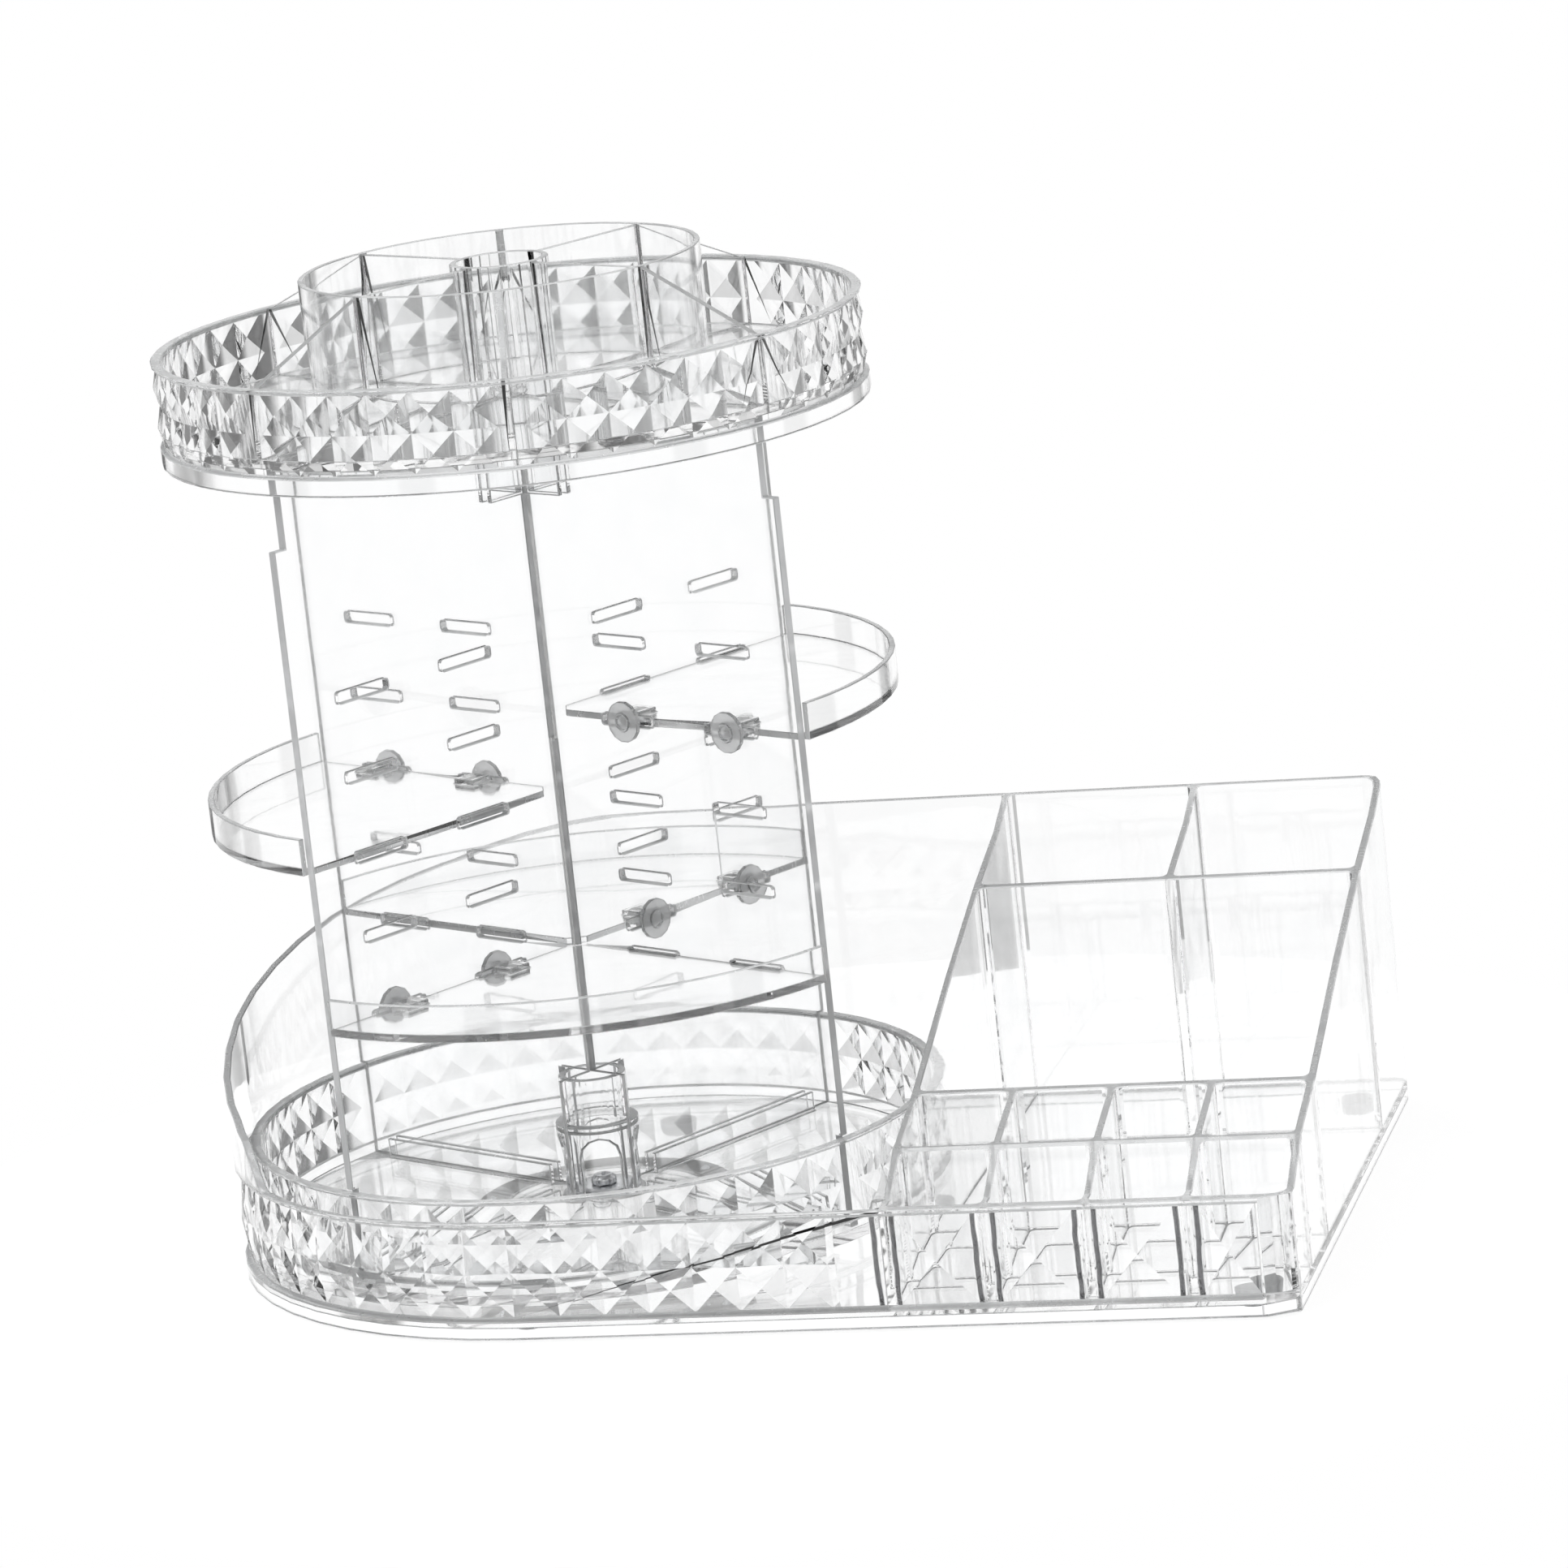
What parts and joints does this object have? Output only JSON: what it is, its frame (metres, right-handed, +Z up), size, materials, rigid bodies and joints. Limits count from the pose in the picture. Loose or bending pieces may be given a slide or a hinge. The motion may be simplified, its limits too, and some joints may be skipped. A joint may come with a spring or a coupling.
{
  "type": "rotating bathroom organizer",
  "caption": "Clear vanity organizer: a turning tower of slotted cross panels, quarter shelves and a round top tray on a fixed diamond-faceted base with a stepped caddy of open cells.",
  "frame": {"origin": "bottom centre of the bounding box, on the surface that the feet stand on", "axes": "+Z up, +X along the long side from the round tower to the caddy, +Y from the low front to the high back"},
  "size_m": [0.3714, 0.241, 0.3263],
  "materials": {
    "clear_plastic": "polished clear polystyrene",
    "clear_panel": "polished clear sheet",
    "clear_buckle": "clear moulded buckle",
    "rubber": "matt grey rubber",
    "steel": "polished steel",
    "cage_plastic": "white moulded cage"
  },
  "bodies": {
    "base": {"base_tray": "clear_plastic", "foot_1": "rubber", "foot_2": "rubber", "foot_3": "rubber", "foot_4": "rubber", "foot_5": "rubber", "foot_6": "rubber", "thrust_washer": "steel", "centre_screw": "steel"},
    "race": {"bearing_cage": "cage_plastic", "ball_1": "steel", "ball_2": "steel", "ball_3": "steel", "ball_4": "steel", "ball_5": "steel", "ball_6": "steel", "ball_7": "steel", "ball_8": "steel"},
    "tower": {"rotating_tray": "clear_plastic", "panel_a": "clear_panel", "panel_b": "clear_panel"},
    "top_tray": {"top_tray": "clear_plastic"},
    "shelf_right": {"shelf_right": "clear_plastic"},
    "shelf_right_buckle_inner": {"shelf_right_buckle_inner": "clear_buckle"},
    "shelf_right_buckle_outer": {"shelf_right_buckle_outer": "clear_buckle"},
    "shelf_left": {"shelf_left": "clear_plastic"},
    "shelf_left_buckle_inner": {"shelf_left_buckle_inner": "clear_buckle"},
    "shelf_left_buckle_outer": {"shelf_left_buckle_outer": "clear_buckle"},
    "shelf_front": {"shelf_front": "clear_plastic"},
    "shelf_front_buckle_inner": {"shelf_front_buckle_inner": "clear_buckle"},
    "shelf_front_buckle_outer": {"shelf_front_buckle_outer": "clear_buckle"},
    "shelf_back": {"shelf_back": "clear_plastic"},
    "shelf_back_buckle_inner": {"shelf_back_buckle_inner": "clear_buckle"},
    "shelf_back_buckle_outer": {"shelf_back_buckle_outer": "clear_buckle"}
  },
  "joints": [
    {"name": "tower_rotation", "type": "hinge", "parent": "base", "child": "tower", "pos_m": [-0.06525, 0, 0.0112], "axis": [0, 0, 1], "continuous": true},
    {"name": "race_rotation", "type": "hinge", "parent": "base", "child": "race", "pos_m": [-0.06525, 0, 0.00935], "axis": [0, 0, 1], "continuous": true},
    {"name": "top_tray_lift", "type": "slide", "parent": "tower", "child": "top_tray", "axis": [0, 0, 1], "range_m": [0, 0.035]},
    {"name": "shelf_right_slide", "type": "slide", "parent": "tower", "child": "shelf_right", "axis": [0.866, -0.5, 0], "range_m": [0, 0.0024]},
    {"name": "shelf_right_buckle_inner_pull", "type": "slide", "parent": "shelf_right", "child": "shelf_right_buckle_inner", "axis": [-0.5, -0.866, 0], "range_m": [0, 0.008]},
    {"name": "shelf_right_buckle_outer_pull", "type": "slide", "parent": "shelf_right", "child": "shelf_right_buckle_outer", "axis": [-0.5, -0.866, 0], "range_m": [0, 0.008]},
    {"name": "shelf_left_slide", "type": "slide", "parent": "tower", "child": "shelf_left", "axis": [-0.866, 0.5, 0], "range_m": [0, 0.0024]},
    {"name": "shelf_left_buckle_inner_pull", "type": "slide", "parent": "shelf_left", "child": "shelf_left_buckle_inner", "axis": [0.5, 0.866, 0], "range_m": [0, 0.008]},
    {"name": "shelf_left_buckle_outer_pull", "type": "slide", "parent": "shelf_left", "child": "shelf_left_buckle_outer", "axis": [0.5, 0.866, 0], "range_m": [0, 0.008]},
    {"name": "shelf_front_slide", "type": "slide", "parent": "tower", "child": "shelf_front", "axis": [-0.5, -0.866, 0], "range_m": [0, 0.0024]},
    {"name": "shelf_front_buckle_inner_pull", "type": "slide", "parent": "shelf_front", "child": "shelf_front_buckle_inner", "axis": [-0.866, 0.5, 0], "range_m": [0, 0.008]},
    {"name": "shelf_front_buckle_outer_pull", "type": "slide", "parent": "shelf_front", "child": "shelf_front_buckle_outer", "axis": [-0.866, 0.5, 0], "range_m": [0, 0.008]},
    {"name": "shelf_back_slide", "type": "slide", "parent": "tower", "child": "shelf_back", "axis": [0.5, 0.866, 0], "range_m": [0, 0.0024]},
    {"name": "shelf_back_buckle_inner_pull", "type": "slide", "parent": "shelf_back", "child": "shelf_back_buckle_inner", "axis": [0.866, -0.5, 0], "range_m": [0, 0.008]},
    {"name": "shelf_back_buckle_outer_pull", "type": "slide", "parent": "shelf_back", "child": "shelf_back_buckle_outer", "axis": [0.866, -0.5, 0], "range_m": [0, 0.008]}
  ],
  "couplings": [
    {"joint": "race_rotation", "follows": "tower_rotation", "ratio": 0.5}
  ]
}
